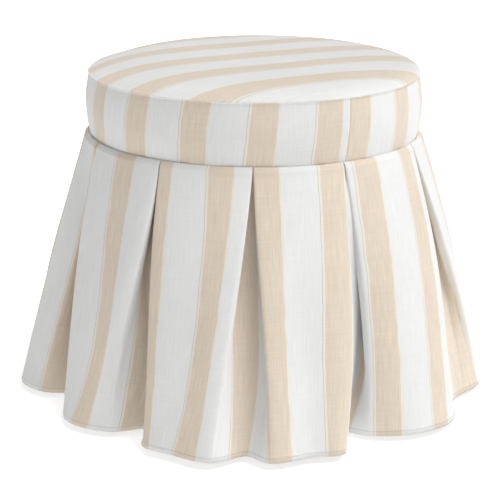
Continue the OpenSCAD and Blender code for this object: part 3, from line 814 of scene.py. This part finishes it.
def skirt_columns(counts):
    """Lengths along the whole cloth, with a number of steps to each fold of half a pleat."""
    half = [0, FOLD_D - TURN_L, FOLD_D + TURN_L, 2 * FOLD_D - TURN_L, 2 * FOLD_D + TURN_L, PLEAT_CLOTH / 2]
    knots = half + [PLEAT_CLOTH - value for value in half[-2::-1]]
    one = spread(knots, counts + counts[::-1])
    columns = []
    for pleat in range(FIRST_PLEAT, FIRST_PLEAT + PLEATS):
        columns += [pleat * PLEAT_CLOTH + value for value in one[:-1]]
    return columns + [(FIRST_PLEAT + PLEATS) * PLEAT_CLOTH - TINY]


def make_skirt():
    """The pleated face cloth, from its edge at the band down to the hem."""
    drop = SEAM_Z - HEM_CLEAR
    rows = spread([-1, 0, 0.05, 0.25, 1], [6, 4, 10, 34])
    bm = grid(skirt_columns([4, 6, 6, 6, 14]), rows, skirt_point,
              lambda length, share: (strayed(length), (1 - share) * drop))
    join_points(bm)
    cloth = striped_linen("skirt_linen", STRIPE_START, hem=True)
    skirt = put(bm, "pleated_skirt", cloth, "striped_cover", "skirt")
    wall(skirt, CLOTH_T)


def make_lining():
    """The lining, folded with the skirt behind it and a little shorter at both edges."""
    below_seam, above_hem = 6 * MM, 12 * MM
    drop = SEAM_Z - SHOULDER_H - HEM_CLEAR
    rows = spread([below_seam / drop, 1 - above_hem / drop], [28])
    bm = grid(skirt_columns([2, 4, 4, 4, 6]), rows, skirt_point,
              lambda length, share: (length, (1 - share) * drop))
    join_points(bm)
    bm.normal_update()
    moves = {vert: vert.normal.copy() for vert in bm.verts}
    outward = sum(1 if move.dot(vert.co) > 0 else -1 for vert, move in moves.items())
    side = -1 if outward > 0 else 1
    for vert, move in moves.items():
        vert.co += move * LINING_BACK * side
    lining = put(bm, "pleated_lining", lining_material(), "lining_cloth", "skirt_lining")
    wall(lining, LINING_T)


# Seat

# The band's closing seam, stripes and slant in degrees round the seat, and the cloth turned in
SEAM_TURN = 31.6
BAND_STRIPE_START = 31.2
BAND_STRIPE_REPEAT = 21.81
SEAM_LEAN = 1.7
# The top's stripes: their slant, their start and their repeat
TOP_ANGLE = 27.3
TOP_START = -187 * MM
TOP_REPEAT = 83.8 * MM
# Where band and top are sewn together, both edges stand out a little
LIP_OUT = 1.1 * MM
LIP_UP = 0.3 * MM
LIP_H = 2.4 * MM
LIP_RING = 0.985


def band_radius(z):
    """The band's outline."""
    share = (z - SEAM_Z) / BAND_H
    if share < 0:
        return BAND_R0
    return BAND_R0 + BAND_TUCK * share + BAND_BULGE * sin(pi * share)


def closing_seam(angle):
    """The groove of the band's closing seam and a small ridge at each side, by the angle from it."""
    groove_half, groove_depth = 0.35, 0.7 * MM
    ridge_angle, ridge_half, ridge_height = 0.6, 0.5, 0.15 * MM
    groove = max(0, 1 - angle / groove_half) * groove_depth
    ridge = max(0, 1 - abs(angle - ridge_angle) / ridge_half) * ridge_height
    return ridge - groove


def band_slack(turn, z, share):
    """Unevenness of the band's cloth: broad where it is loose, and puckers towards its edges."""
    upright, broad, fine = 6, 5, 14
    broad_size, fine_size = 0.8 * MM, 0.3 * MM
    pucker_round, pucker_up, pucker_size = 40, 60, 0.3 * MM
    loose = max(0, sin(pi * min(1, max(0, share))))
    spot = Vector((*polar(1, turn), z * upright))
    soft = noise.noise(spot * broad) * broad_size + noise.noise(spot * fine) * fine_size
    if share <= 0:
        return soft * loose
    pucker = noise.noise(Vector((*polar(pucker_round, turn), z * pucker_up))) * (1 - loose) * pucker_size
    return soft * loose + pucker


def band_lean(past):
    """How askew the band was sewn on, at an angle past its closing seam: most of all to its left."""
    straightens, leans, settles = (8, 55), (190, 240), (320, 360)
    most = 1.25
    return 1 - eased(past, *straightens) + eased(past, *leans) * most - eased(past, *settles) * (most - 1)


def make_band():
    """The striped band round the side. It was sewn on a little askew left of its closing seam."""
    seam_width, upper_rows, below_seam, middle = 0.6, 3 * MM, -0.2, 0.5
    seam_end = SEAM_TURN + 360
    turns = spread([SEAM_TURN, SEAM_TURN + seam_width, seam_end - seam_width, seam_end], [6, 300, 6])
    heights = spread([band_low.z, SEAM_Z, TOP_Z - upper_rows, TOP_Z + LIP_UP], [4, 26, 6])

    def place(turn, z):
        share = (z - SEAM_Z) / BAND_H
        near_top = max(0, (z - TOP_Z + LIP_H) / LIP_H)
        radius = band_radius(min(z, TOP_Z)) + near_top ** 2 * LIP_OUT
        radius += closing_seam(abs((turn - SEAM_TURN + 180) % 360 - 180)) + band_slack(turn, z, share)
        lean = SEAM_LEAN * band_lean(turn - SEAM_TURN) * (max(share, below_seam) - middle)
        return Vector((*polar(radius, turn + lean), z))

    scale = radians(1) * (SEAT_R + BAND_BULGE)
    bm = grid(turns, heights, place, lambda turn, z: (turn * scale, z))
    cloth = striped_linen("band_linen", BAND_STRIPE_START * scale, BAND_STRIPE_REPEAT * scale)
    band = put(bm, "striped_band", cloth, "striped_cover", "boxing_band")
    wall(band, COVER_T, -1.0)


def crown_share(turn, ring):
    """Height of the crown at a share of the radius. The edge is softer on the left than on the right."""
    return max(0, 1 - ring ** CROWN_N) ** (1 / (CROWN_M + CROWN_SOFT * sin(radians(turn))))


def make_top():
    """The crowned striped top, sewn to the band."""
    ring_count, innermost, same_point, allowance = 46, 1e-4, 0.05 * MM, 8 * MM
    broad, broad_place, broad_size, broad_power = 9, 4.4, 1.1 * MM, 4
    pucker_round, pucker_in, pucker_size, pucker_power = 38, 12, 0.35 * MM, 10
    rings = [sin(pi / 2 * i / ring_count) for i in range(ring_count + 1)]

    def place(turn, ring):
        edge = max(0, (ring - LIP_RING) / (1 - LIP_RING))
        spot = polar(SEAT_R * max(ring, innermost) + edge * LIP_OUT, turn)
        soft = noise.noise(Vector((spot.x * broad, spot.y * broad, broad_place))) * broad_size
        pucker = noise.noise(Vector((*polar(pucker_round, turn), ring * pucker_in))) * pucker_size
        z = TOP_Z + CROWN_H * crown_share(turn, ring) + edge * LIP_UP + soft * (1 - ring ** broad_power)
        return Vector((*spot, z + pucker * ring ** pucker_power * (1 - edge)))

    across = Vector((-sin(radians(TOP_ANGLE)), cos(radians(TOP_ANGLE))))
    along = Vector((cos(radians(TOP_ANGLE)), sin(radians(TOP_ANGLE))))

    def flat(turn, ring):
        spot = polar(SEAT_R * ring, turn)
        return spot.dot(across), spot.dot(along)

    bm = grid(spread([0, 360], [320]), rings, place, flat)
    join_points(bm, same_point)
    bmesh.ops.recalc_face_normals(bm, faces=bm.faces)
    cloth = striped_linen("top_linen", TOP_START, TOP_REPEAT)
    top = put(bm, "striped_top", cloth, "striped_cover", "seat_top_cover")
    wall(top, COVER_T, -1.0)


# Padding inside the cover

WADDING_T = 9 * MM
WADDING_IN, WADDING_TOP_IN = COVER_T + CLEAR + 1.6 * MM, 4 * MM
FOAM_IN, FOAM_TOP_IN = COVER_T + 2 * CLEAR + 7.6 * MM, 14 * MM
PADDING_EDGE = 1.5 * MM


def padding(inset, top_inset, low):
    """A closed round form that fills the cover down to low, some way inside it."""
    steps, wall_steps, crown_steps, foot_share = 96, 12, 18, 0.96
    rim = SEAT_R - inset
    heights = [low + (TOP_Z - low) * i / wall_steps for i in range(wall_steps + 1)]
    outline = [(0, low), (rim * foot_share, low)] + [(band_radius(z) - inset, z) for z in heights]
    outline += [(rim * cos(pi / 2 * i / crown_steps), TOP_Z + CROWN_H) for i in range(1, crown_steps + 1)]
    bm = bmesh.new()
    verts = [bm.verts.new((max(radius, 0), 0, z)) for radius, z in outline]
    edges = [bm.edges.new(pair) for pair in zip(verts, verts[1:])]
    bmesh.ops.spin(bm, geom=verts + edges, cent=(0, 0, 0), axis=(0, 0, 1), angle=2 * pi, steps=steps,
                   use_merge=True, use_duplicate=False)
    join_points(bm)
    for vert in bm.verts:
        if vert.co.z > TOP_Z + CLEAR:
            ring = min(1, vert.co.xy.length / rim)
            turn = degrees(atan2(vert.co.x, -vert.co.y))
            crown = (CROWN_H - top_inset + PADDING_EDGE) * crown_share(turn, ring)
            vert.co.z = TOP_Z - PADDING_EDGE + crown
    bmesh.ops.recalc_face_normals(bm, faces=bm.faces)
    return bm


def taken(piece):
    """Applies the piece's modifiers to its mesh."""
    shape = bpy.data.meshes.new_from_object(piece.evaluated_get(bpy.context.evaluated_depsgraph_get()))
    piece.modifiers.clear()
    piece.data = shape
    return shape


def swell(piece, voxel, pressure, most):
    """Cloth simulation: air pressure fills the pad out, and no point moves more than most."""
    last_frame = 20
    remesh = piece.modifiers.new("voxels", "REMESH")
    remesh.mode = "VOXEL"
    remesh.voxel_size = voxel
    shape = taken(piece)
    start = [vert.co.copy() for vert in shape.vertices]
    cloth = piece.modifiers.new("cloth", "CLOTH")
    cloth.settings.quality = 5
    cloth.settings.mass = 0.3
    cloth.settings.use_pressure = True
    cloth.settings.uniform_pressure_force = pressure
    cloth.settings.effector_weights.gravity = 0
    for number in range(1, last_frame + 1):
        bpy.context.scene.frame_set(number)
    shape = taken(piece)
    bpy.context.scene.frame_set(1)
    for vert, first in zip(shape.vertices, start):
        move = vert.co - first
        if move.length > most:
            vert.co = first + move * (most / move.length)


def make_wadding():
    """Polyester wadding over the foam: a soft cap, filled out by simulation."""
    foot, edge_loft, loft_start, loft_end = 1.5 * MM, 0.6, SEAT_R - 34 * MM, SEAT_R - 8 * MM
    low = RING_TOP + CLEAR
    material = wadding_material()
    bm = padding(WADDING_IN, WADDING_TOP_IN, low)
    wadding = put(bm, "soft_wadding", material, "wadding", "wadding_cap")
    swell(wadding, voxel=6 * MM, pressure=4.0, most=1.2 * MM)
    bm = bmesh.new()
    bm.from_mesh(wadding.data)
    flat = [face for face in bm.faces if face.calc_center_median().z < low + foot]
    bmesh.ops.delete(bm, geom=flat, context="FACES")
    bmesh.ops.smooth_vert(bm, verts=bm.verts, factor=0.5, use_axis_x=True, use_axis_y=True, use_axis_z=True)
    bm.to_mesh(wadding.data)
    bm.free()
    wadding.data.materials.clear()
    wadding.data.materials.append(material)
    wadding.data.shade_smooth()
    loft = wadding.vertex_groups.new(name="loft")
    for vert in wadding.data.vertices:
        thinned = edge_loft * eased(vert.co.xy.length, loft_start, loft_end)
        loft.add([vert.index], 1 - thinned, "REPLACE")
    wall(wadding, WADDING_T, -1.0).vertex_group = "loft"


def make_foam():
    """The crowned foam block on the deck."""
    bm = padding(FOAM_IN, FOAM_TOP_IN, DECK_Z + DECK_T + CLEAR)
    foam = put(bm, "foam_block", foam_material(), "foam", "foam_core")


# Deck, webbing and dust cover

STRAPS = 4
STRAP_W = 50 * MM
STRAP_T = 1.6 * MM
STRAP_SPACING = 72 * MM
STRAP_ROOM = 2 * MM
STRAP_THINNED = 0.1 * MM
STRAP_PLACES = [(i - (STRAPS - 1) / 2) * STRAP_SPACING for i in range(STRAPS)]
STRAP_LEVEL = STRAP_T + CLEAR
DECK_R = RING_R - CLEAR
DECK_FLAT = 6 * MM
DECK_T = 0.8 * MM
STRAP_END_R = DECK_R - DECK_FLAT - 2 * CLEAR
DECK_Z = RING_TOP + STRAP_T + STRAP_LEVEL + CLEAR
DECK_EDGE_Z = RING_TOP + CLEAR / 3
DISC_HOLE = 0.01 * MM
DUST_T = 0.5 * MM
DUST_SAG = 3.5 * MM
DUST_RIM = 50 * MM


def disc(radii, steps, height):
    """A round sheet laid out on rings. Its map is in metres, as it lies."""
    def place(turn, radius):
        spot = polar(radius, turn)
        return Vector((*spot, height(spot.x, spot.y)))
    bm = grid(spread([0, 360], [steps]), radii, place, lambda turn, radius: polar(radius, turn))
    join_points(bm)
    bmesh.ops.recalc_face_normals(bm, faces=bm.faces)
    return bm


def strap_height(along, first):
    """Height of a strap over the ring: it dips under one crossing strap and rides over the next."""
    pad = STRAP_W / 2 + STRAP_ROOM
    run_out = pad + STRAP_W / 4
    knots = [(-STRAP_END_R, 0), (STRAP_PLACES[0] - run_out, 0)]
    knots += [(place + side * pad, STRAP_LEVEL * ((i + first) % 2))
              for i, place in enumerate(STRAP_PLACES) for side in (-1, 1)]
    knots += [(STRAP_PLACES[-1] + run_out, 0), (STRAP_END_R, 0)]
    for (start, low), (end, high) in zip(knots, knots[1:]):
        if along <= end:
            return low + (high - low) * eased(along, start, end)
    return 0


def strap(place, first, half, crosswise):
    """One woven strap, as long as twice half."""
    def spot(along, across):
        edge = eased(abs(across), STRAP_W / 2 - STRAP_ROOM, STRAP_W / 2) * STRAP_THINNED
        z = RING_TOP + STRAP_T / 2 + strap_height(along, first) - edge
        return Vector((-place - across, along, z) if crosswise else (along, place + across, z))

    widths = spread([-STRAP_W / 2, STRAP_W / 2], [12])
    return grid(spread([-half, half], [120]), widths, spot, lambda along, across: (across, along))


def make_webbing(crosswise):
    """Four woven straps side by side, laced over and under the four that cross them."""
    name = "webbing_crosswise" if crosswise else "webbing_lengthwise"
    whole = bmesh.new()
    shape = bpy.data.meshes.new("strap")
    for number, place in enumerate(STRAP_PLACES):
        half = sqrt(STRAP_END_R ** 2 - (abs(place) + STRAP_W / 2) ** 2)
        one = strap(place, number % 2, half, crosswise)
        one.to_mesh(shape)
        one.free()
        whole.from_mesh(shape)
    webbing = put(whole, "laced_" + name, webbing_material(), "jute_webbing", name)
    wall(webbing, STRAP_T - STRAP_THINNED)


def make_deck():
    """Burlap stretched over the webbing."""
    flat_r = STRAP_END_R - DECK_FLAT
    edge_r = STRAP_END_R + 2 * CLEAR

    def height(x, y):
        past_flat = min(1, max(0, (sqrt(x * x + y * y) - flat_r) / (edge_r - flat_r)))
        return DECK_Z + (DECK_EDGE_Z - DECK_Z) * past_flat + DECK_T / 2

    radii = spread([DISC_HOLE, flat_r, edge_r, DECK_R], [40, 6, 4])
    deck = put(disc(radii, 160, height), "burlap_deck", burlap_material(), "burlap", "deck_cloth")
    wall(deck, DECK_T)


def cut_leg_hole(bm, centre, half):
    """Cuts a square hole for a leg, whose sides face the middle of the seat."""
    near_leg = 45 * MM
    outward = centre.normalized()
    sideways = Vector((-outward.y, outward.x, 0))
    for way in (outward, -outward, sideways, -sideways):
        near = [face for face in bm.faces if (face.calc_center_median().xy - centre.xy).length < near_leg]
        cut = near + list({edge for face in near for edge in face.edges})
        cut += list({vert for face in near for vert in face.verts})
        bmesh.ops.bisect_plane(bm, geom=cut, plane_co=centre + way * half, plane_no=way)
    hole = [face for face in bm.faces if max(abs((face.calc_center_median() - centre).dot(way))
                                             for way in (outward, sideways)) < half]
    bmesh.ops.delete(bm, geom=hole, context="FACES")


def make_dust_cover():
    """Black cloth under the frame, cut round the four legs and sagging a little between them."""
    middle = (dust_low.z + dust_high.z) / 2
    inner = RING_R - DUST_RIM
    leg_centre = (Vector(leg_low) + Vector(leg_high)) / 2
    leg_half = LEG_W / 2 + CLEAR

    def height(x, y):
        return middle - DUST_SAG * (1 - eased(sqrt(x * x + y * y), 0, inner))

    bm = disc(spread([DISC_HOLE, inner, RING_R], [30, 14]), 144, height)
    for quarter in range(4):
        turn = Matrix.Rotation(pi / 2 * quarter, 3, "Z")
        cut_leg_hole(bm, turn @ Vector((leg_centre.x, leg_centre.y, 0)), leg_half)
    cover = put(bm, "black_dust_cover", cambric_material(), "cambric", "dust_cover")
    wall(cover, DUST_T)


def dress_frame():
    """The rigid pieces of the frame keep their shapes and get their finishes."""
    plywood = plywood_material()
    pine = wood_material("pine_blocks", PINE_DARK, PINE_LIGHT, stretch=(40, 40, 5), roughness=0.75)
    stained = wood_material("stained_leg", LEG_DARK, LEG_LIGHT, stretch=(60, 60, 5), roughness=0.42)
    board = pressed_material("hard_board", BOARD_DARK, BOARD_LIGHT, roughness=0.55)
    card = pressed_material("grey_card", CARD_DARK, CARD_LIGHT, roughness=0.85)
    nylon = nylon_material()
    zinc = zinc_material()
    finishes = {"top_ring": plywood, "bottom_ring": plywood, "spacer_blocks": pine, "side_hoop": board,
                "tack_strip": card}
    for corner in ("front_left", "front_right", "back_left", "back_right"):
        finishes["leg_" + corner] = stained
        finishes["glide_" + corner] = nylon
    for fastener in ("leg_screws", "upper_block_screws", "lower_block_screws", "webbing_staples",
                     "deck_staples", "band_staples", "skirt_staples", "dust_cover_staples"):
        finishes[fastener] = zinc
    for node, material in finishes.items():
        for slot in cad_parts[node].material_slots:
            slot.material = material


make_camera()
make_floor()
make_lights()
make_skirt()
make_lining()
make_band()
make_top()
make_wadding()
make_foam()
make_deck()
make_webbing(False)
make_webbing(True)
make_dust_cover()
dress_frame()
